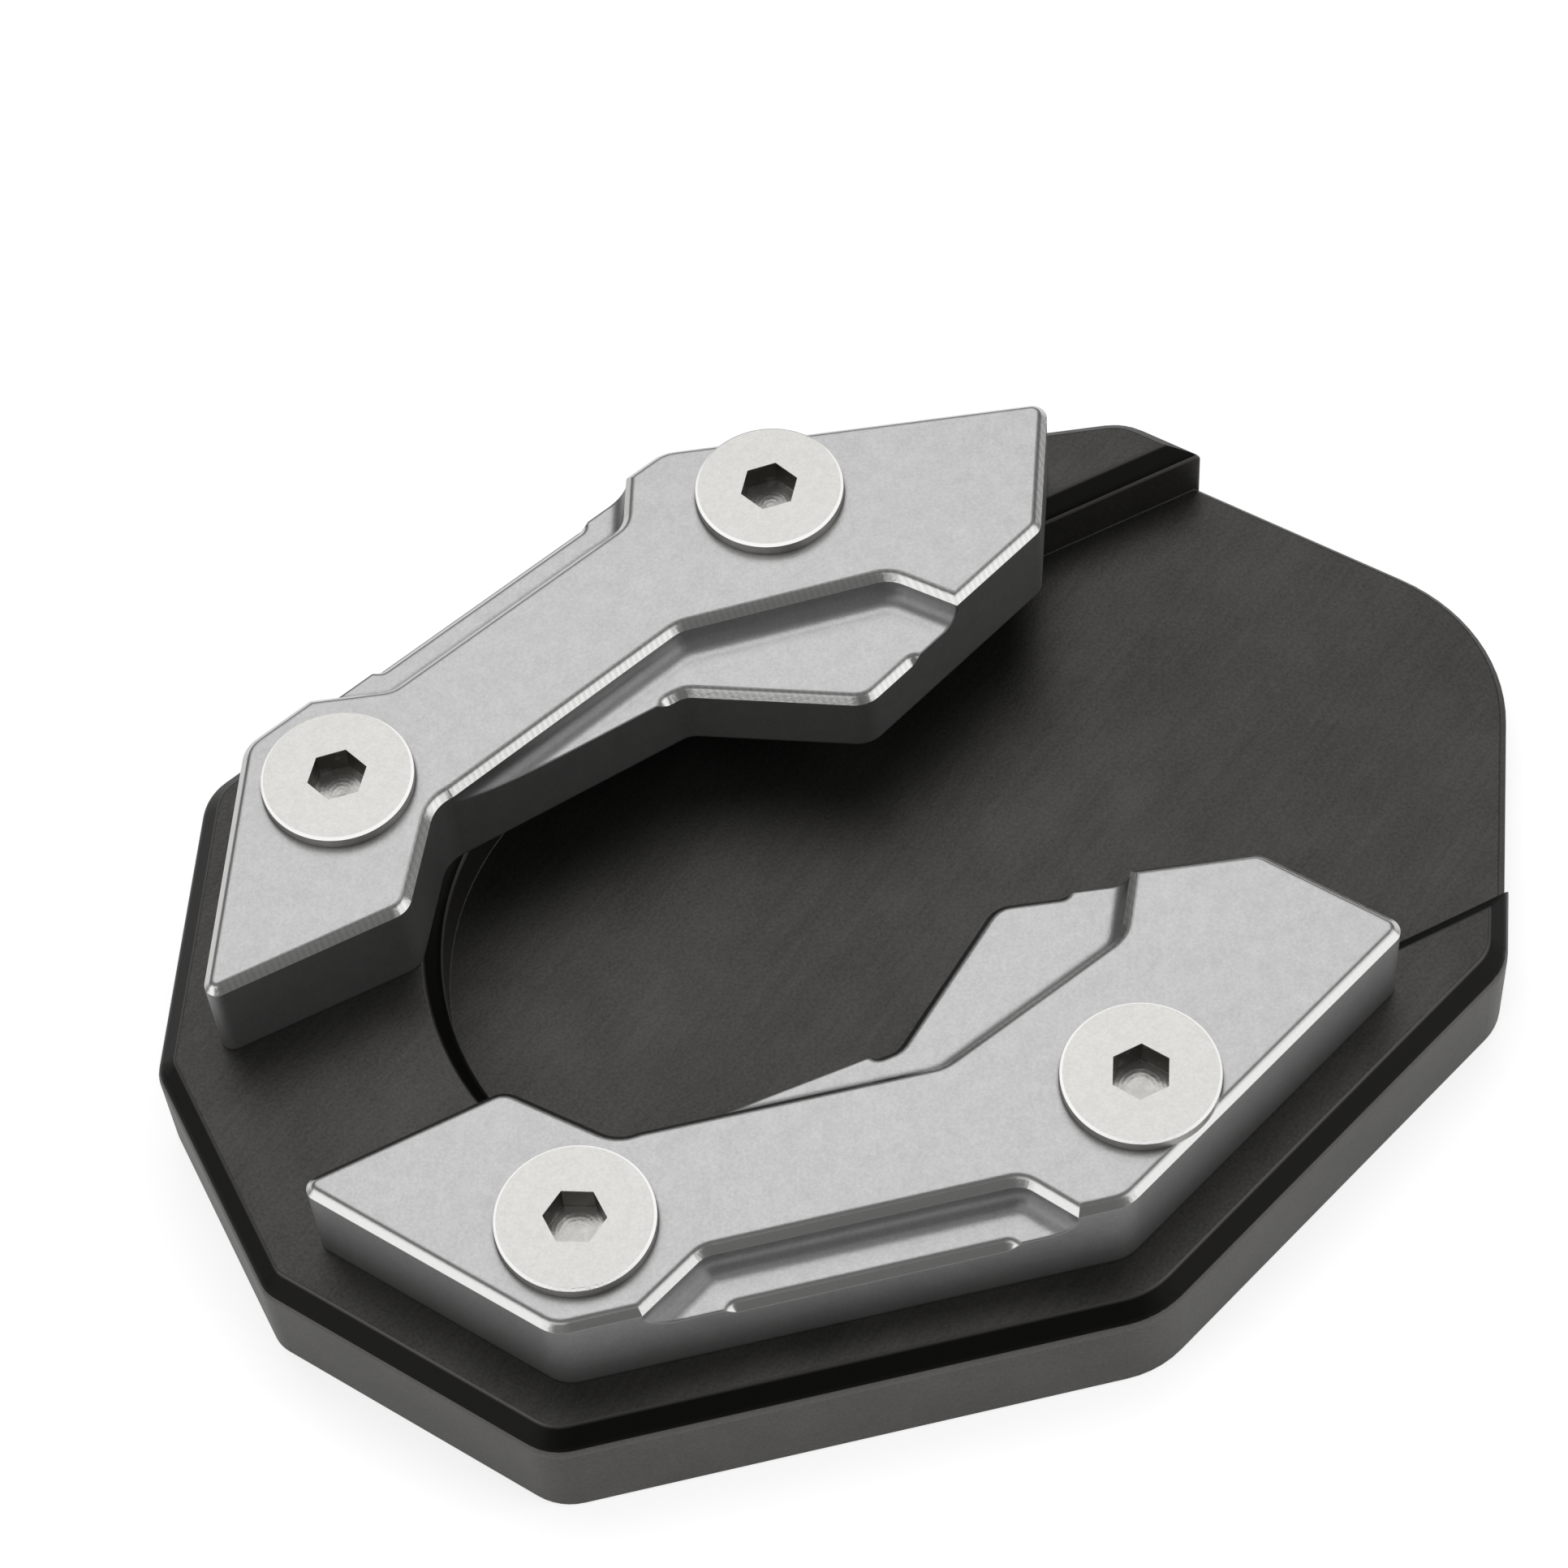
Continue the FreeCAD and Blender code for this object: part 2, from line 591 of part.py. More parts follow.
def make_left_clamp():
    """The left clamp: outline, milled shelves, broken edges and countersunk holes."""
    body = doc.addObject("PartDesign::Body", "ClampLeft")
    body.Label = "clamp_left"
    sketch, corners = draw_clamp_outline(body)
    feature = pad(body, "ClampBlank", sketch, "Sizes.clamp_height")
    tip, shoulder, side, tail, heel, jaw, hollow, shelf, throat = corners
    for name, corner, radius in (
        ("Tip", tip, "Sizes.tip_radius"),
        ("Shoulder", shoulder, "Sizes.clamp_shoulder_radius"),
        ("Side", side, "Sizes.clamp_side_radius"),
        ("Tail", tail, "Sizes.clamp_tail_radius"),
        ("Heel", heel, "Sizes.clamp_heel_radius"),
        ("Jaw", jaw, "Sizes.jaw_radius"),
        ("Hollow", hollow, "Sizes.hollow_radius"),
        ("ShelfCorner", shelf, "Sizes.shelf_corner_radius"),
        ("Throat", throat, "Sizes.throat_radius"),
    ):
        feature = fillet(body, name, feature, upright_edges(feature, [corner]), radius)
    milled = body.newObject("PartDesign::Boolean", "MilledShelves")
    milled.Type = "Cut"
    milled.setObjects([
        ball_milled_cutter("RecessCutter", draw_recess, "Sizes.recess_corner_radius"),
        ball_milled_cutter("ReliefCutter", draw_relief, "Sizes.relief_corner_radius"),
    ])
    doc.recompute()
    top = size("Sizes.clamp_height")
    feature = chamfer(body, "TopEdges", milled, level_edges(milled, top), "Sizes.clamp_chamfer")
    broken = body.newObject("PartDesign::Boolean", "BrokenShelfEdges")
    broken.Type = "Cut"
    strip = "(2 * Sizes.mill_radius - Sizes.clamp_chamfer)"
    broken.setObjects([
        edge_break_cutter(
            "InnerBreak",
            [SHELF, HOLLOW, JAW, CLAMP_HEEL],
            ("Sizes.clamp_chamfer", -1),
            (strip, 1),
            station("inner_break_start"),
            station("inner_break_end"),
            ["Sizes.hollow_radius + Sizes.clamp_chamfer", "Sizes.jaw_radius - Sizes.clamp_chamfer"],
        ),
        edge_break_cutter(
            "OuterBreak",
            [SHOULDER, SIDE_CORNER],
            ("Sizes.clamp_side_margin + Sizes.clamp_chamfer", 1),
            ("Sizes.clamp_side_margin - " + strip, 1),
            station("outer_break_start"),
            station("outer_break_end"),
            [],
        ),
    ])
    doc.recompute()
    centres = [screw_centre(end, 1) for end in ("toe", "heel")]
    bores = new_sketch(body, "ScrewHoles", height="Sizes.clamp_height")
    add_circles(bores, centres, "(Sizes.screw_diameter + Sizes.shank_clearance) / 2")
    doc.recompute()
    holes = body.newObject("PartDesign::Hole", "CountersunkHoles")
    holes.Profile = bores
    doc.recompute()
    holes.DepthType = "ThroughAll"
    holes.HoleCutType = "Countersink"
    holes.HoleCutCustomValues = True
    holes.setExpression("HoleCutCountersinkAngle", "Sizes.head_angle")
    holes.setExpression("Diameter", "Sizes.screw_diameter + Sizes.shank_clearance")
    holes.setExpression("HoleCutDiameter", "Sizes.head_diameter")
    doc.recompute()
    body.setExpression("Placement.Base.z", "Sizes.plate_height")
    return body


def make_right_clamp(left):
    """The right clamp, the left one's mirror image about the middle plane."""
    right = doc.addObject("Part::Mirroring", "ClampRight")
    right.Label = "clamp_right"
    right.Source = left
    right.Normal = Vector(0, 1, 0)
    return right


def make_screw(name, end, side, turn):
    """A countersunk screw with a hexagon socket, its head a little proud of the clamp."""
    body = doc.addObject("PartDesign::Body", name.title().replace("_", ""))
    body.Label = name
    profile = new_sketch(body, "Profile", role="XZ_Plane")
    cone = "(Sizes.head_diameter - Sizes.screw_diameter) / 2 / tan(Sizes.head_angle / 2)"
    corners = [
        ("0", "0"),
        ("Sizes.head_diameter / 2", "0"),
        ("Sizes.head_diameter / 2", "-Sizes.head_stand_out"),
        ("Sizes.screw_diameter / 2", "-Sizes.head_stand_out - " + cone),
        ("Sizes.screw_diameter / 2", "Sizes.screw_point_chamfer - Sizes.screw_length"),
        ("Sizes.screw_diameter / 2 - Sizes.screw_point_chamfer", "-Sizes.screw_length"),
        ("0", "-Sizes.screw_length"),
    ]
    lines = add_loop(profile, [place(corner) for corner in corners])
    for line, corner in zip(lines, corners):
        pin(profile, line, 1, corner)
    turned = body.newObject("PartDesign::Revolution", "Turned")
    turned.Profile = profile
    turned.ReferenceAxis = (profile, ["V_Axis"])
    doc.recompute()
    chamfer(body, "HeadEdge", turned, level_edges(turned, 0), "Sizes.head_edge_break")
    socket = new_sketch(body, "Socket")
    radius = "Sizes.socket_across_flats / 2 / cos(30)"
    hexagon = []
    for number in range(6):
        angle = turn + 60 * number
        hexagon.append(("%s * cos(%g)" % (radius, angle), "%s * sin(%g)" % (radius, angle)))
    lines = add_loop(socket, [place(corner) for corner in hexagon])
    for line, corner in zip(lines, hexagon):
        pin(socket, line, 1, corner)
    pocket(body, "SocketPocket", socket, "Sizes.socket_depth")
    drill = new_sketch(body, "SocketPoint", role="XZ_Plane")
    corners = [
        ("0", "-Sizes.socket_depth"),
        ("0", "-Sizes.socket_depth - Sizes.socket_cone_depth"),
        ("Sizes.socket_across_flats / 2", "-Sizes.socket_depth"),
    ]
    lines = add_loop(drill, [place(corner) for corner in corners])
    for line, corner in zip(lines, corners):
        pin(drill, line, 1, corner)
    point = body.newObject("PartDesign::Groove", "SocketCone")
    point.Profile = drill
    point.ReferenceAxis = (drill, ["V_Axis"])
    doc.recompute()
    x, y = screw_centre(end, side)
    body.setExpression("Placement.Base.x", x)
    body.setExpression("Placement.Base.y", y)
    head_top = "Sizes.plate_height + Sizes.clamp_height + Sizes.head_stand_out"
    body.setExpression("Placement.Base.z", head_top)
    return body


def check_document(parts):
    """Stops where an object failed or a sub-part's shape isn't one sound solid."""
    for item in doc.Objects:
        if item.State and item.State != ["Up-to-date"]:
            raise RuntimeError("%s failed: %s" % (item.Name, item.State))
    for part in parts:
        shape = part.Shape
        if shape.isNull() or not shape.isValid() or len(shape.Solids) != 1:
            raise RuntimeError("%s has no sound shape" % part.Label)


base_plate = make_plate()
clamp_left = make_left_clamp()
parts = [base_plate, clamp_left, make_right_clamp(clamp_left)]
parts += [make_screw(*screw) for screw in SCREWS]
doc.recompute()
check_document(parts)

os.makedirs("parts", exist_ok=True)
for part in parts:
    part.Shape.exportStep("parts/%s.step" % part.Label)
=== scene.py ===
import math

import bpy
import numpy as np
from mathutils import Matrix, Vector


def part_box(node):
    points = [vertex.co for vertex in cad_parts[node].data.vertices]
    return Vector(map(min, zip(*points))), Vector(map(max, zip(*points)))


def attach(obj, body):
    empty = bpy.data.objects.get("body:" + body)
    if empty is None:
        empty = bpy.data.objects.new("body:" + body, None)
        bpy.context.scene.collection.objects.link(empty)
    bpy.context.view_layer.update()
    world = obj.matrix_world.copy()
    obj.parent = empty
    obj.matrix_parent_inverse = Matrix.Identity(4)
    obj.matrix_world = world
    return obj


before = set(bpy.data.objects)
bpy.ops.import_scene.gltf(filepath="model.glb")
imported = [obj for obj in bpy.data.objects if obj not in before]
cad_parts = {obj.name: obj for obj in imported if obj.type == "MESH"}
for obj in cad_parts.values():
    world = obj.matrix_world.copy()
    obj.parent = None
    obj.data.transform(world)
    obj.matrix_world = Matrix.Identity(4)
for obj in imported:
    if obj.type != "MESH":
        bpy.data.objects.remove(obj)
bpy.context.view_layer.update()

# A millimetre in metres
MM = 0.001


# Sizes in millimetres, in the row frame

PLATE_TOP = 10.2
CLAMP_TOP = 18.8
SHELF_TOP = 16.2
HEAD_TOP = 19.9
CLAMP_CHAMFER = 0.7

# The softened brink under the plate's chamfer: the depths below the plate's top between
# which it lies, and the upward part of its normal, give or take
BRINK_START = 1.48
BRINK_END = 2.3
BRINK_RISE = 0.33
BRINK_RISE_SPREAD = 0.25

# Depths below a screw head's top of its socket's mouth and floor, and a radius that just
# holds the socket's corners
SOCKET_MOUTH = 0.12
SOCKET_FLOOR = 2.14
SOCKET_REACH = 2.38

# How far past an edge a point still counts as lying on it
SLACK = 0.03

# What the finishes draw: how far edges are rounded, how deep the grain is on aluminium and
# on steel, and how far apart the mill's ribs and the lathe's rings lie
PLATE_ROUNDING = 0.2
CLAMP_ROUNDING = 0.3
GRAIN_DEPTH = 0.03
STEEL_GRAIN_DEPTH = 0.02
RIB_PITCH = 0.5
RING_PITCH = 0.3

# Threads in the plate's tapped holes, seen from below up to the screws' ends
SCREWS = ("screw_toe_left", "screw_toe_right", "screw_heel_left", "screw_heel_right")
THREAD_PITCH = 1.0
THREAD_DEPTH = 0.45
THREAD_RADIUS = 3.03
THREAD_START = 0.2
THREAD_GAP = 0.15
THREAD_SIDES = 72
THREAD_ROWS = 18

# Where the camera stands, its right, down and forward directions, and its lens on a 36 mm sensor
CAMERA_PLACE = (-71.8, -165.69, 296.12)
CAMERA_RIGHT = (0.89344956, -0.44569778, -0.05568998)
CAMERA_DOWN = (-0.40016446, -0.73352981, -0.54936548)
CAMERA_FORWARD = (0.20400072, 0.5131155, -0.83372429)
CAMERA_LENS = 102.02


# Colours of the finishes, as sRGB

BLACK_DYED = "545351"
BLACK_DYED_CUT = "1B1A19"
# Painted highlight on the plate's upper chamfer edges and softened brinks
BLACK_PAINTED_HIGHLIGHT = "8C8A87"
SILVER_BLASTED = "DFDFDF"
SILVER_CUT = "E7E7E5"
STEEL_TURNED = "F6F5F1"
# Painted highlight on the screw heads' edges
STEEL_PAINTED_HIGHLIGHT = "FDFCFA"
# Painted shade in the sockets and on the heads' rims
STEEL_PAINTED_SHADE = "6E6C66"
ALUMINIUM_TAPPED = "8A8986"
FLOOR_PAPER = "F7F7F7"


def linear(hex_colour):
    """An sRGB hex colour as linear red, green, blue and alpha."""
    channels = [int(hex_colour[i:i + 2], 16) / 255 for i in (0, 2, 4)]
    return tuple(c / 12.92 if c <= 0.04045 else ((c + 0.055) / 1.055) ** 2.4 for c in channels) + (1.0,)


def add_node(tree, kind, inputs=None, **settings):
    """One node with its settings. An input is a value, a node's first output or an output."""
    made = tree.nodes.new(kind)
    for name, value in settings.items():
        setattr(made, name, value)
    for socket, value in (inputs or {}).items():
        if isinstance(value, bpy.types.Node):
            value = value.outputs[0]
        if isinstance(value, bpy.types.NodeSocket):
            tree.links.new(value, made.inputs[socket])
        else:
            made.inputs[socket].default_value = value
    return made


def blast_grain(tree, place, width):
    """Dimples or clouds of tone about a width in millimetres across.

    The dimples that blasting leaves are about 0.1 mm across, too fine to show, so the
    finishes draw them about twice as wide.
    """
    return add_node(tree, "ShaderNodeTexNoise", {
        "Vector": place, "Scale": 1 / (width * MM), "Detail": 2.0, "Roughness": 0.6})


def cutter_paths(tree, place, angle, width, length):
    """Faint lines that a face mill leaves: noise drawn out along one direction of the top."""
    turned = add_node(tree, "ShaderNodeMapping", {
        "Vector": place, "Rotation": (0, 0, -math.radians(angle))})
    drawn = add_node(tree, "ShaderNodeVectorMath", {
        0: turned, 1: (1 / (length * MM), 1 / (width * MM), 1 / (length * MM))}, operation="MULTIPLY")
    return add_node(tree, "ShaderNodeTexNoise", {
        "Vector": drawn, "Scale": 1.0, "Detail": 2.0, "Roughness": 0.5})


def broken_edge(tree, point, normal, top, reach, rises, step_top=None):
    """Which points lie on a 45 degree edge break, and how far each lies below its upper edge.

    A point counts where the upward part of its normal lies between the two values in rises
    and its depth below the top is less than the reach. Edges at the height step_top count too.
    """
    height = add_node(tree, "ShaderNodeSeparateXYZ", {0: point}).outputs["Z"]
    rise = add_node(tree, "ShaderNodeSeparateXYZ", {0: normal}).outputs["Z"]
    depth = add_node(tree, "ShaderNodeMath", {0: top * MM, 1: height}, operation="SUBTRACT")
    if step_top is not None:
        on_step = add_node(tree, "ShaderNodeMath", {
            0: height, 1: (step_top + SLACK) * MM}, operation="LESS_THAN")
        depth = add_node(tree, "ShaderNodeMath", {
            0: on_step, 1: (step_top - top) * MM, 2: depth}, operation="MULTIPLY_ADD")
    low, high = rises
    leaning = add_node(tree, "ShaderNodeMath", {
        0: rise, 1: (low + high) / 2, 2: (high - low) / 2}, operation="COMPARE")
    near = add_node(tree, "ShaderNodeMath", {0: depth, 1: reach * MM}, operation="LESS_THAN")
    return add_node(tree, "ShaderNodeMath", {0: leaning, 1: near}, operation="MULTIPLY"), depth


def rounded_off(tree, normal, cut, depth, reach, start):
    """The normal on an edge break whose upper edge tumbling has rounded, and how round it is.

    It is turned up by the share start at the edge, and is the break's own a reach further down.
    """
    near = add_node(tree, "ShaderNodeMapRange", {
        "Value": depth, "From Min": 0.0, "From Max": reach * MM, "To Min": start, "To Max": 0.0},
        interpolation_type="SMOOTHSTEP")
    share = add_node(tree, "ShaderNodeMath", {0: near, 1: cut}, operation="MULTIPLY")
    turned = add_node(tree, "ShaderNodeMix", {
        "Factor": share, 4: normal, 5: (0, 0, 1)}, data_type="VECTOR")
    return add_node(tree, "ShaderNodeVectorMath", {0: turned.outputs[1]}, operation="NORMALIZE"), share


def new_finish(name):
    """An empty material: its node tree, shader, and the point and normal at each place."""
    material = bpy.data.materials.new(name)
    material.use_nodes = True
    tree = material.node_tree
    tree.nodes.clear()
    shader = add_node(tree, "ShaderNodeBsdfPrincipled")
    add_node(tree, "ShaderNodeOutputMaterial", {"Surface": shader})
    point = add_node(tree, "ShaderNodeTexCoord").outputs["Object"]
    normal = add_node(tree, "ShaderNodeNewGeometry").outputs["Normal"]
    return material, tree, shader, point, normal


def black_anodised_aluminium():
    """Aluminium, face milled, blasted, then anodised and dyed black.

    The dye darkens the metal but lets it shine: flat faces are satin charcoal with fine
    grain and faint slanting cutter lines. The wide edge breaks are deeper black. A painted
    highlight runs as a thin line along their upper edge, and another lies on the softened
    brink below them, strongest round the pocket.
    """
    material, tree, shader, point, normal = new_finish("aluminium_anodised_black")
    cut, depth = broken_edge(
        tree, point, normal, top=PLATE_TOP, reach=BRINK_START, rises=(0.1, 0.9))
    grain = blast_grain(tree, point, width=0.25)
    cloud = blast_grain(tree, point, width=7.0)
    rise = add_node(tree, "ShaderNodeSeparateXYZ", {0: normal}).outputs["Z"]
    level = add_node(tree, "ShaderNodeMath", {0: rise, 1: 0.9}, operation="GREATER_THAN")
    lines = cutter_paths(tree, point, angle=28, width=0.45, length=9.0)
    lines = add_node(tree, "ShaderNodeMix", {
        "Factor": level, 2: 0.5, 3: lines}, data_type="FLOAT")

    # Charcoal with grain, lines and clouds of tone on the flat faces
    tone = add_node(tree, "ShaderNodeMath", {0: lines, 1: 0.36, 2: grain}, operation="MULTIPLY_ADD")
    tone = add_node(tree, "ShaderNodeMath", {0: cloud, 1: 0.6, 2: tone}, operation="MULTIPLY_ADD")
    shade = add_node(tree, "ShaderNodeMapRange", {
        "Value": tone, "From Min": 0.68, "From Max": 1.28, "To Min": 0.73, "To Max": 1.27})
    flat = add_node(tree, "ShaderNodeVectorMath", {
        0: linear(BLACK_DYED)[:3], "Scale": shade}, operation="SCALE")

    # Deep black on the edge breaks, with a painted highlight along their upper edge
    painted_edge_highlight = add_node(tree, "ShaderNodeMapRange", {
        "Value": depth, "From Min": 0.05 * MM, "From Max": 0.22 * MM, "To Min": 0.45, "To Max": 0.0})
    edge = add_node(tree, "ShaderNodeMix", {
        "Factor": painted_edge_highlight, 6: linear(BLACK_DYED_CUT), 7: linear(BLACK_PAINTED_HIGHLIGHT)}, data_type="RGBA")
    colour = add_node(tree, "ShaderNodeMix", {
        "Factor": cut, 6: flat, 7: edge.outputs[2]}, data_type="RGBA")

    # Painted highlight on the softened brinks, stronger on those that face the pocket than on those
    # that face out
    leaning = add_node(tree, "ShaderNodeMath", {
        0: rise, 1: BRINK_RISE, 2: BRINK_RISE_SPREAD}, operation="COMPARE")
    high = add_node(tree, "ShaderNodeMath", {
        0: depth, 1: (BRINK_START + BRINK_END) / 2 * MM, 2: (BRINK_END - BRINK_START) / 2 * MM},
        operation="COMPARE")
    brink = add_node(tree, "ShaderNodeMath", {0: leaning, 1: high}, operation="MULTIPLY")
    across = add_node(tree, "ShaderNodeVectorMath", {0: point, 1: (1, 1, 0)}, operation="MULTIPLY")
    across = add_node(tree, "ShaderNodeVectorMath", {0: across, 1: normal}, operation="DOT_PRODUCT")
    inner = add_node(tree, "ShaderNodeMath", {
        0: across.outputs["Value"], 1: 0.0}, operation="LESS_THAN")
    painted_brink_highlight = add_node(tree, "ShaderNodeMapRange", {"Value": inner, "To Min": 0.25, "To Max": 1.0})
    painted_brink_highlight = add_node(tree, "ShaderNodeMath", {0: brink, 1: painted_brink_highlight}, operation="MULTIPLY")
    colour = add_node(tree, "ShaderNodeMix", {
        "Factor": painted_brink_highlight, 6: colour.outputs[2], 7: linear(BLACK_PAINTED_HIGHLIGHT)}, data_type="RGBA")

    rough = add_node(tree, "ShaderNodeMapRange", {"Value": cut, "To Min": 0.4, "To Max": 0.42})
    height = add_node(tree, "ShaderNodeMath", {0: lines, 1: 0.25, 2: grain}, operation="MULTIPLY_ADD")
    eased = add_node(tree, "ShaderNodeBevel", {"Radius": PLATE_ROUNDING * MM}, samples=8)
    bump = add_node(tree, "ShaderNodeBump", {
        "Height": height, "Strength": 0.35, "Distance": GRAIN_DEPTH * MM, "Normal": eased})
    shader.inputs["Metallic"].default_value = 0.85
    tree.links.new(colour.outputs[2], shader.inputs["Base Color"])
    tree.links.new(rough.outputs[0], shader.inputs["Roughness"])
    tree.links.new(bump.outputs[0], shader.inputs["Normal"])
    return material


def silver_anodised_aluminium():
    """Aluminium, blasted and anodised clear, its edge breaks cut afterwards.

    Tops and shelves are satin light grey with fine grain. On walls and at their rounded
    feet the grey is deeper with painted shade, and a painted shadow runs as a dark hairline
    round each screw head. The edge breaks are bright, rounded off at the top, and ribbed
    across where the mill stepped along the inner edges.
    """
    material, tree, shader, point, normal = new_finish("aluminium_anodised_silver")
    cut, depth = broken_edge(
        tree, point, normal, top=CLAMP_TOP, reach=CLAMP_CHAMFER + SLACK, rises=(0.58, 0.84),
        step_top=SHELF_TOP)
    turned, share = rounded_off(tree, normal, cut, depth, reach=0.35, start=0.62)
    sharp = add_node(tree, "ShaderNodeMath", {0: cut, 1: share}, operation="SUBTRACT")
    eased = add_node(tree, "ShaderNodeBevel", {"Radius": CLAMP_ROUNDING * MM}, samples=8)
    turned = add_node(tree, "ShaderNodeMix", {"Factor": cut, 4: eased, 5: turned}, data_type="VECTOR")
    p = add_node(tree, "ShaderNodeSeparateXYZ", {0: point})
    n = add_node(tree, "ShaderNodeSeparateXYZ", {0: eased})
    level = add_node(tree, "ShaderNodeMapRange", {
        "Value": n.outputs["Z"], "From Min": 0.8, "From Max": 1.0}, interpolation_type="SMOOTHSTEP")

    # Blasted faces: grain and clouds of tone, with painted shade on walls and close beside a higher
    # piece
    grain = blast_grain(tree, point, width=0.22)
    cloud = blast_grain(tree, point, width=1.6)
    lines = cutter_paths(tree, point, angle=63, width=0.35, length=6.0)
    tone = add_node(tree, "ShaderNodeMath", {0: lines, 1: 0.15, 2: grain}, operation="MULTIPLY_ADD")
    tone = add_node(tree, "ShaderNodeMath", {0: cloud, 1: 0.5, 2: tone}, operation="MULTIPLY_ADD")
    shade = add_node(tree, "ShaderNodeMapRange", {
        "Value": tone, "From Min": 0.52, "From Max": 1.13, "To Min": 0.89, "To Max": 1.11})
    # Painted shade: walls and their rounded feet darker than tops and shelves
    walls = add_node(tree, "ShaderNodeMapRange", {"Value": level, "To Min": 0.44, "To Max": 1.0})
    shade = add_node(tree, "ShaderNodeMath", {0: shade, 1: walls}, operation="MULTIPLY")
    # Painted shade in nooks, as a dark hairline round each screw head
    painted_nook_shade = add_node(tree, "ShaderNodeAmbientOcclusion", {
        "Distance": 0.4 * MM, "Normal": normal}, samples=8)
    painted_nook_shade = add_node(tree, "ShaderNodeMapRange", {
        "Value": painted_nook_shade.outputs["AO"], "From Min": 0.5, "From Max": 0.9, "To Min": 0.5, "To Max": 1.0})
    shade = add_node(tree, "ShaderNodeMath", {0: shade, 1: painted_nook_shade}, operation="MULTIPLY")
    flat = add_node(tree, "ShaderNodeVectorMath", {
        0: linear(SILVER_BLASTED)[:3], "Scale": shade}, operation="SCALE")
    colour = add_node(tree, "ShaderNodeMix", {
        "Factor": sharp, 6: flat, 7: linear(SILVER_CUT)}, data_type="RGBA")

    # Ribs across the edge breaks, faint on the outer edges
    away = add_node(tree, "ShaderNodeMath", {
        0: p.outputs["Y"], 1: n.outputs["Y"]}, operation="MULTIPLY")
    inner = add_node(tree, "ShaderNodeMath", {0: away, 1: 0.0}, operation="LESS_THAN")
    ribbed = add_node(tree, "ShaderNodeMapRange", {"Value": inner, "To Min": 0.1, "To Max": 1.0})
    ribs = add_node(tree, "ShaderNodeMath", {
        0: p.outputs["X"], 1: 2 * math.pi / (RIB_PITCH * MM)}, operation="MULTIPLY")
    ribs = add_node(tree, "ShaderNodeMath", {0: ribs}, operation="SINE")
    ribs = add_node(tree, "ShaderNodeMath", {0: ribs, 1: ribbed}, operation="MULTIPLY")
    ribs = add_node(tree, "ShaderNodeMath", {0: ribs, 1: cut}, operation="MULTIPLY")
    groove = add_node(tree, "ShaderNodeMapRange", {
        "Value": ribs, "From Min": -1.0, "From Max": 1.0, "To Min": 0.91, "To Max": 1.04})
    colour = add_node(tree, "ShaderNodeVectorMath", {
        0: colour.outputs[2], "Scale": groove}, operation="SCALE")

    rough = add_node(tree, "ShaderNodeMapRange", {"Value": level, "To Min": 0.4, "To Max": 0.37})
    rough = add_node(tree, "ShaderNodeMix", {"Factor": sharp, 2: rough, 3: 0.24}, data_type="FLOAT")
    metal = add_node(tree, "ShaderNodeMapRange", {"Value": level, "To Min": 0.78, "To Max": 0.95})
    metal = add_node(tree, "ShaderNodeMix", {"Factor": sharp, 2: metal, 3: 1.0}, data_type="FLOAT")
    height = add_node(tree, "ShaderNodeMath", {0: ribs, 1: 0.09, 2: grain}, operation="MULTIPLY_ADD")
    bump = add_node(tree, "ShaderNodeBump", {
        "Height": height, "Strength": 0.35, "Distance": GRAIN_DEPTH * MM,
        "Normal": turned.outputs[1]})
    tree.links.new(colour.outputs[0], shader.inputs["Base Color"])
    tree.links.new(metal.outputs[0], shader.inputs["Metallic"])
    tree.links.new(rough.outputs[0], shader.inputs["Roughness"])
    tree.links.new(bump.outputs[0], shader.inputs["Normal"])
    return material


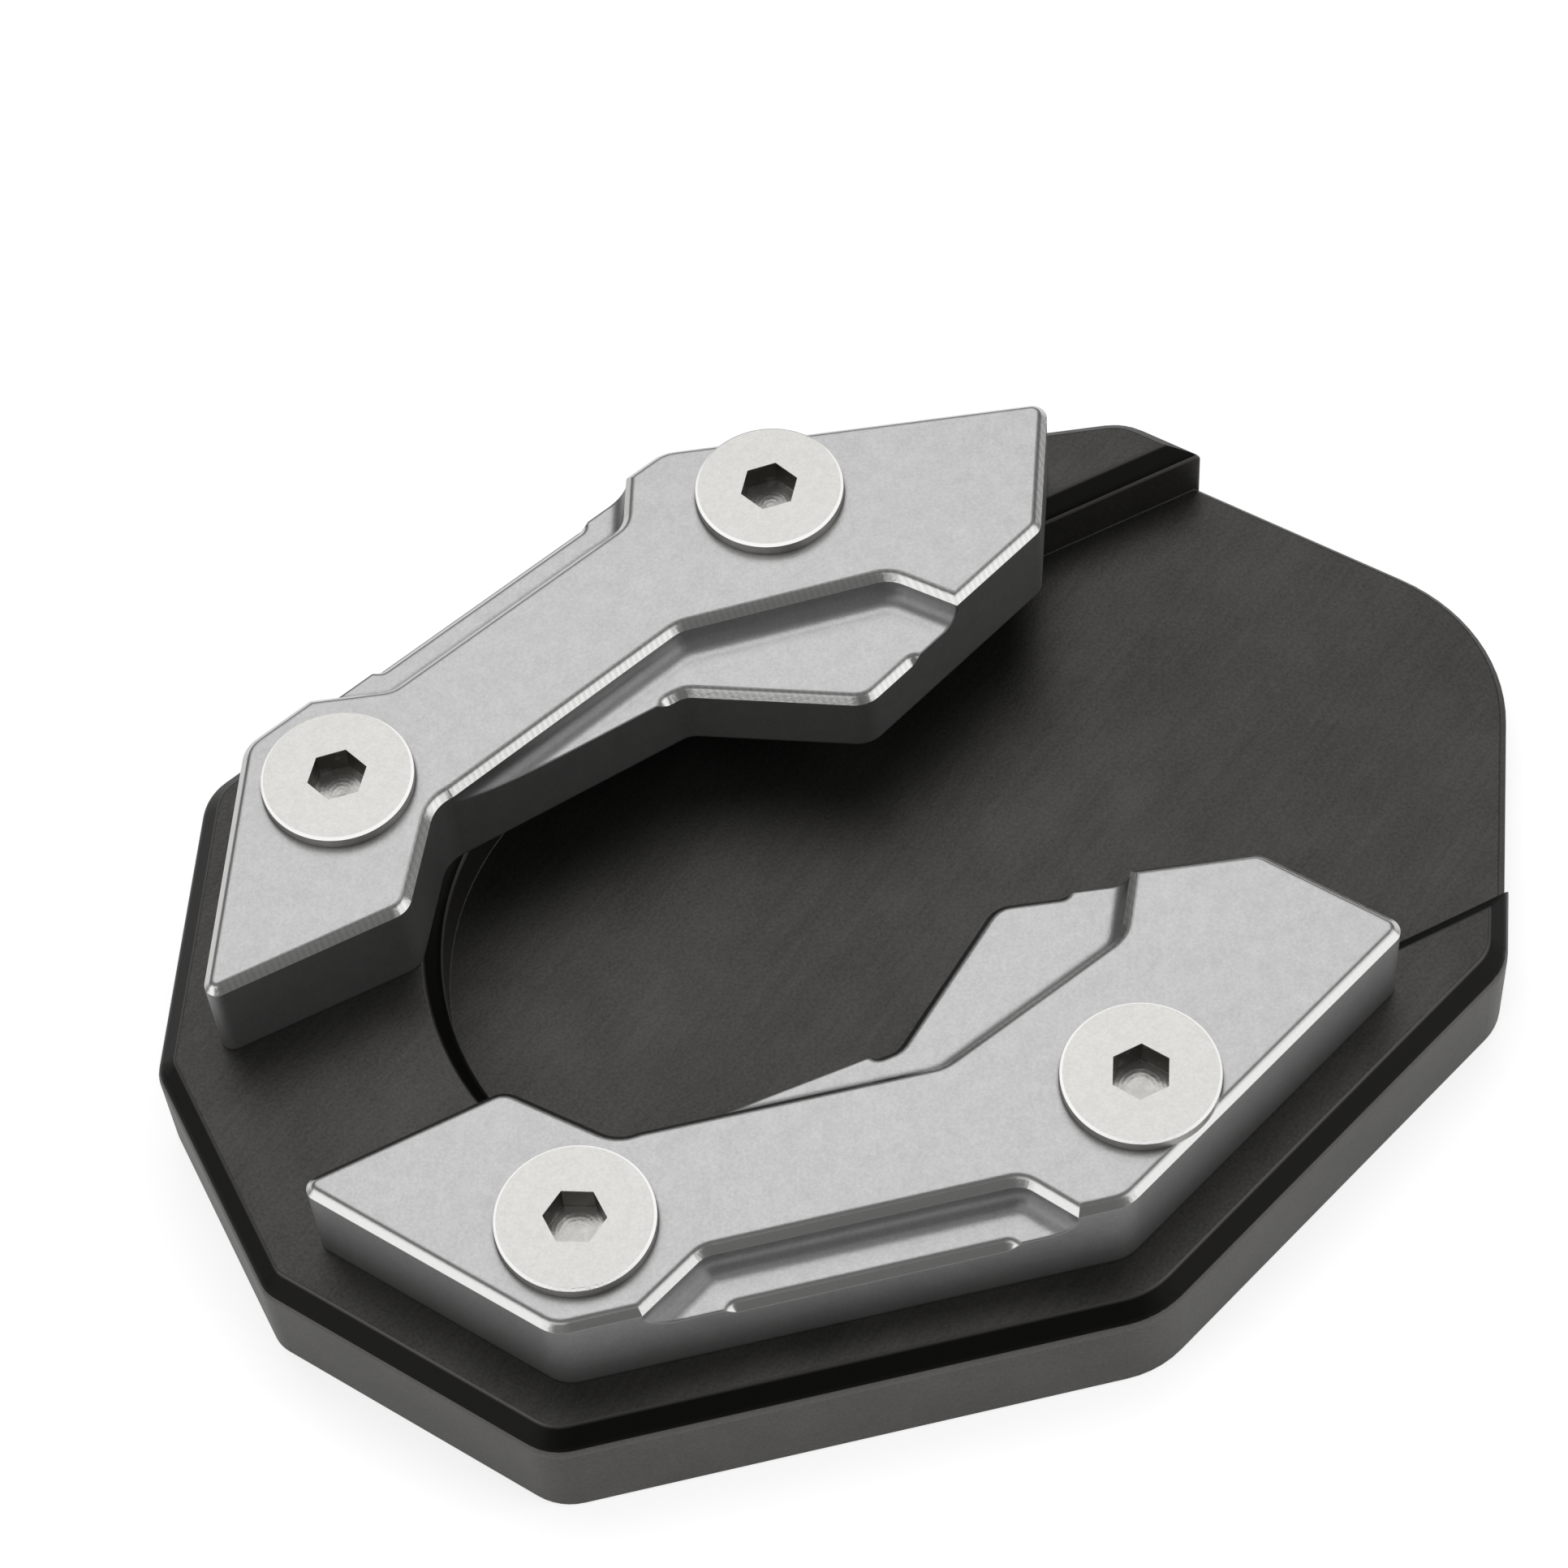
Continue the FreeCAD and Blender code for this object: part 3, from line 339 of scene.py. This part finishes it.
def stainless_steel_screw(name, centre):
    """Stainless steel, turned on a lathe and tumbled. The centre is in metres.

    The head is bright and faintly mottled, with a shiny edge that carries a painted highlight,
    and painted shade on its rim. Turning left rings about the screw's axis, too fine to show, so
    they are drawn 0.3 mm apart. The socket was broached: painted shade, mottled, darkens its
    walls, and more faintly its drilled floor, which shines.
    """
    material, tree, shader, point, normal = new_finish(name)
    middle = add_node(tree, "ShaderNodeVectorMath", {
        0: point, 1: (centre[0], centre[1], HEAD_TOP * MM)}, operation="SUBTRACT")
    p = add_node(tree, "ShaderNodeSeparateXYZ", {0: middle})
    flat = add_node(tree, "ShaderNodeCombineXYZ", {"X": p.outputs["X"], "Y": p.outputs["Y"]})
    reach = add_node(tree, "ShaderNodeVectorMath", {0: flat}, operation="LENGTH").outputs["Value"]
    within = add_node(tree, "ShaderNodeMath", {0: reach, 1: SOCKET_REACH * MM}, operation="LESS_THAN")
    walls = add_node(tree, "ShaderNodeMath", {
        0: p.outputs["Z"], 1: -(SOCKET_FLOOR + SOCKET_MOUTH) / 2 * MM,
        2: (SOCKET_FLOOR - SOCKET_MOUTH) / 2 * MM}, operation="COMPARE")
    socket = add_node(tree, "ShaderNodeMath", {0: within, 1: walls}, operation="MULTIPLY")
    below = add_node(tree, "ShaderNodeMath", {
        0: p.outputs["Z"], 1: -SOCKET_FLOOR * MM}, operation="LESS_THAN")
    floor = add_node(tree, "ShaderNodeMath", {0: within, 1: below}, operation="MULTIPLY")
    rise = add_node(tree, "ShaderNodeSeparateXYZ", {0: normal}).outputs["Z"]
    edge = add_node(tree, "ShaderNodeMath", {0: rise, 1: math.sqrt(0.5), 2: 0.2}, operation="COMPARE")
    bright = add_node(tree, "ShaderNodeMath", {0: edge, 1: floor}, operation="MAXIMUM")
    upright = add_node(tree, "ShaderNodeMath", {0: rise, 1: 0.3}, operation="LESS_THAN")
    grain = blast_grain(tree, point, width=0.2)
    cloud = blast_grain(tree, point, width=1.1)

    # Painted shade, mottled, on the socket walls and the rim, and fainter on the socket floor
    painted_socket_shade = add_node(tree, "ShaderNodeMapRange", {
        "Value": cloud, "From Min": 0.35, "From Max": 0.6, "To Min": 0.25, "To Max": 0.8})
    painted_shade = add_node(tree, "ShaderNodeMath", {0: socket, 1: painted_socket_shade}, operation="MULTIPLY")
    painted_shade = add_node(tree, "ShaderNodeMath", {
        0: upright, 1: 0.6, 2: painted_shade}, operation="MULTIPLY_ADD")
    painted_floor_shade = add_node(tree, "ShaderNodeMath", {0: floor, 1: painted_socket_shade}, operation="MULTIPLY")
    painted_shade = add_node(tree, "ShaderNodeMath", {
        0: painted_floor_shade, 1: 0.45, 2: painted_shade}, operation="MULTIPLY_ADD")
    colour = add_node(tree, "ShaderNodeMix", {
        "Factor": painted_shade, 6: linear(STEEL_TURNED), 7: linear(STEEL_PAINTED_SHADE)}, data_type="RGBA")
    mottle = add_node(tree, "ShaderNodeMath", {0: grain, 1: cloud}, operation="ADD")
    mottle = add_node(tree, "ShaderNodeMapRange", {
        "Value": mottle, "From Min": 0.75, "From Max": 1.25, "To Min": 0.92, "To Max": 1.06})
    colour = add_node(tree, "ShaderNodeVectorMath", {
        0: colour.outputs[2], "Scale": mottle}, operation="SCALE")
    # Painted highlight on the head's edge
    colour = add_node(tree, "ShaderNodeMix", {
        "Factor": edge, 6: colour, 7: linear(STEEL_PAINTED_HIGHLIGHT)}, data_type="RGBA")

    # The edge and the drilled floor are smooth, and rounder than their faces
    lifted = add_node(tree, "ShaderNodeMath", {0: bright, 1: 0.8}, operation="MULTIPLY")
    lifted = add_node(tree, "ShaderNodeMix", {
        "Factor": lifted, 4: normal, 5: (0, 0, 1)}, data_type="VECTOR")
    metal = add_node(tree, "ShaderNodeMapRange", {"Value": floor, "To Min": 1.0, "To Max": 0.85})
    rough = add_node(tree, "ShaderNodeMapRange", {
        "Value": cloud, "From Min": 0.3, "From Max": 0.7, "To Min": 0.36, "To Max": 0.4})
    rough = add_node(tree, "ShaderNodeMix", {"Factor": bright, 2: rough, 3: 0.2}, data_type="FLOAT")

    rings = add_node(tree, "ShaderNodeMath", {
        0: reach, 1: 2 * math.pi / (RING_PITCH * MM)}, operation="MULTIPLY")
    rings = add_node(tree, "ShaderNodeMath", {0: rings}, operation="SINE")
    height = add_node(tree, "ShaderNodeMath", {0: rings, 1: 0.15, 2: grain}, operation="MULTIPLY_ADD")
    bump = add_node(tree, "ShaderNodeBump", {
        "Height": height, "Strength": 0.25, "Distance": STEEL_GRAIN_DEPTH * MM,
        "Normal": lifted.outputs[1]})
    tree.links.new(colour.outputs[2], shader.inputs["Base Color"])
    tree.links.new(metal.outputs[0], shader.inputs["Metallic"])
    tree.links.new(rough.outputs[0], shader.inputs["Roughness"])
    tree.links.new(bump.outputs[0], shader.inputs["Normal"])
    return material


def tapped_aluminium():
    """Bare aluminium of a thread cut with a tap: dull grey, torn along the flanks."""
    material, tree, shader, point, normal = new_finish("aluminium_tapped")
    grain = blast_grain(tree, point, width=0.3)
    rough = add_node(tree, "ShaderNodeMapRange", {
        "Value": grain, "From Min": 0.3, "From Max": 0.7, "To Min": 0.35, "To Max": 0.55})
    bump = add_node(tree, "ShaderNodeBump", {
        "Height": grain, "Strength": 0.4, "Distance": GRAIN_DEPTH * MM, "Normal": normal})
    shader.inputs["Metallic"].default_value = 1.0
    shader.inputs["Base Color"].default_value = linear(ALUMINIUM_TAPPED)
    tree.links.new(rough.outputs[0], shader.inputs["Roughness"])
    tree.links.new(bump.outputs[0], shader.inputs["Normal"])
    return material


def ring_mesh(name, points):
    """A mesh from a grid of points in metres, each row closed into a ring."""
    rows, columns, _ = points.shape
    row, column = np.meshgrid(np.arange(rows - 1), np.arange(columns), indexing="ij")
    following = (column + 1) % columns
    faces = np.stack([
        row * columns + column, (row + 1) * columns + column,
        (row + 1) * columns + following, row * columns + following], axis=-1).reshape(-1, 4)
    mesh = bpy.data.meshes.new(name)
    mesh.from_pydata(points.reshape(-1, 3).tolist(), [], faces.tolist())
    mesh.shade_smooth()
    return mesh


def tapped_thread(centre, low, high):
    """The flanks of a tapped thread between two heights, as rings of points in metres.

    At angle t and height z the radius is the bore's, less the thread's depth times a
    triangle wave of z / pitch - t / (2 pi). The wave fades out at both ends.
    """
    turn = np.linspace(0, 2 * np.pi, THREAD_SIDES, endpoint=False)[None, :]
    height = np.linspace(low, high, int((high - low) / THREAD_PITCH * THREAD_ROWS))[:, None]
    phase = (height / THREAD_PITCH - turn / (2 * np.pi)) % 1.0
    wave = 1 - np.abs(2 * phase - 1)
    fade = np.clip(np.minimum(height - low, high - height) / (0.4 * THREAD_PITCH), 0, 1)
    radius = THREAD_RADIUS - THREAD_DEPTH * wave * fade
    return np.stack([
        centre[0] + radius * np.cos(turn),
        centre[1] + radius * np.sin(turn),
        np.broadcast_to(height, radius.shape)], axis=-1) * MM


def place_object(name, mesh, material):
    """A new object at the origin with one material."""
    made = bpy.data.objects.new(name, mesh)
    bpy.context.scene.collection.objects.link(made)
    made.data.materials.append(material)
    return made


def finish_node(node, material):
    """Gives every slot of a CAD node the same material."""
    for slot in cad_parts[node].material_slots:
        slot.material = material


finish_node("base_plate", black_anodised_aluminium())
silver = silver_anodised_aluminium()
finish_node("clamp_left", silver)
finish_node("clamp_right", silver)

bare = tapped_aluminium()
for screw in SCREWS:
    low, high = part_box(screw)
    centre = ((low[0] + high[0]) / 2, (low[1] + high[1]) / 2)
    finish_node(screw, stainless_steel_screw("stainless_steel_" + screw, centre))
    rings = tapped_thread((centre[0] / MM, centre[1] / MM), THREAD_START, low[2] / MM - THREAD_GAP)
    name = screw.replace("screw", "thread")
    thread = place_object(name, ring_mesh(name, rings), bare)
    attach(thread, "root")


# Soft lamps that face the object: name, azimuth and elevation in degrees, width and height in
# metres, and radiance. A flat lamp of area A and radiance L gives pi A L watts.

LAMP_DISTANCE = 0.8
LAMPS = (
    ("lamp_above_back", 72, 61, 0.85, 0.66, 0.85),
    ("lamp_left", 188, 25, 0.6, 0.6, 0.95),
    ("lamp_front_left", 225, 48, 0.38, 0.4, 0.55),
    ("lamp_right", 321, 27, 0.7, 0.68, 0.95))

for name, azimuth, elevation, width, height, radiance in LAMPS:
    lamp = bpy.data.lights.new(name, "AREA")
    lamp.shape = "RECTANGLE"
    lamp.size = width
    lamp.size_y = height
    lamp.energy = math.pi * width * height * radiance
    made = bpy.data.objects.new(name, lamp)
    bpy.context.scene.collection.objects.link(made)
    az, el = math.radians(azimuth), math.radians(elevation)
    out = Vector((math.cos(el) * math.cos(az), math.cos(el) * math.sin(az), math.sin(el)))
    made.location = out * LAMP_DISTANCE
    made.rotation_euler = out.to_track_quat("Z", "Y").to_euler()


# The floor's half side in metres, its height just clear of the object, the light that lifts it
# to plain white, and the share of that light which reflections show
FLOOR_HALF = 4.0
FLOOR_HEIGHT = -0.02 * MM
FLOOR_LIFT = 0.68
FLOOR_MIRRORED = 0.5


def studio_floor():
    """White paper on a table. To the eye and in reflections it is lifted to plain white.

    Seen from below it is clear, so that the object's underside shows.
    """
    material = bpy.data.materials.new("floor_paper")
    material.use_nodes = True
    tree = material.node_tree
    tree.nodes.clear()
    path = add_node(tree, "ShaderNodeLightPath")
    seen = add_node(tree, "ShaderNodeMath", {
        0: path.outputs["Is Camera Ray"], 1: path.outputs["Is Transmission Ray"]}, operation="ADD")
    seen = add_node(tree, "ShaderNodeMath", {
        0: path.outputs["Is Glossy Ray"], 1: FLOOR_MIRRORED, 2: seen}, operation="MULTIPLY_ADD")
    lift = add_node(tree, "ShaderNodeMath", {0: seen, 1: FLOOR_LIFT}, operation="MULTIPLY")
    paper = add_node(tree, "ShaderNodeBsdfDiffuse", {"Color": linear(FLOOR_PAPER)})
    glow = add_node(tree, "ShaderNodeEmission", {"Strength": lift})
    both = add_node(tree, "ShaderNodeAddShader", {0: paper, 1: glow})
    back = add_node(tree, "ShaderNodeNewGeometry").outputs["Backfacing"]
    clear = add_node(tree, "ShaderNodeBsdfTransparent")
    shown = add_node(tree, "ShaderNodeMixShader", {0: back, 1: both, 2: clear})
    add_node(tree, "ShaderNodeOutputMaterial", {"Surface": shown})
    return material


floor_mesh = bpy.data.meshes.new("floor")
floor_mesh.from_pydata([
    (-FLOOR_HALF, -FLOOR_HALF, FLOOR_HEIGHT), (FLOOR_HALF, -FLOOR_HALF, FLOOR_HEIGHT),
    (FLOOR_HALF, FLOOR_HALF, FLOOR_HEIGHT), (-FLOOR_HALF, FLOOR_HALF, FLOOR_HEIGHT)],
    [], [(0, 1, 2, 3)])
place_object("floor", floor_mesh, studio_floor())

# A dim room, lighter near the horizon
world = bpy.data.worlds.new("studio")
bpy.context.scene.world = world
world.use_nodes = True
tree = world.node_tree
tree.nodes.clear()
direction = add_node(tree, "ShaderNodeTexCoord").outputs["Generated"]
rise = add_node(tree, "ShaderNodeSeparateXYZ", {0: direction}).outputs["Z"]
glow = add_node(tree, "ShaderNodeMapRange", {
    "Value": rise, "From Min": 0.05, "From Max": 0.3, "To Min": 0.3, "To Max": 0.13},
    interpolation_type="SMOOTHSTEP")
room = add_node(tree, "ShaderNodeBackground", {"Color": (1, 1, 1, 1), "Strength": glow})
add_node(tree, "ShaderNodeOutputWorld", {"Surface": room})

camera_data = bpy.data.cameras.new("camera")
camera_data.sensor_width = 36
camera_data.lens = CAMERA_LENS
camera_data.clip_start = 0.01
camera_data.clip_end = 20
camera = bpy.data.objects.new("camera", camera_data)
bpy.context.scene.collection.objects.link(camera)
axes = Matrix((CAMERA_RIGHT, [-v for v in CAMERA_DOWN], [-v for v in CAMERA_FORWARD])).transposed()
camera.matrix_world = Matrix.Translation(Vector(CAMERA_PLACE) * MM) @ axes.to_4x4()
bpy.context.scene.camera = camera
bpy.context.scene.view_settings.view_transform = "Standard"
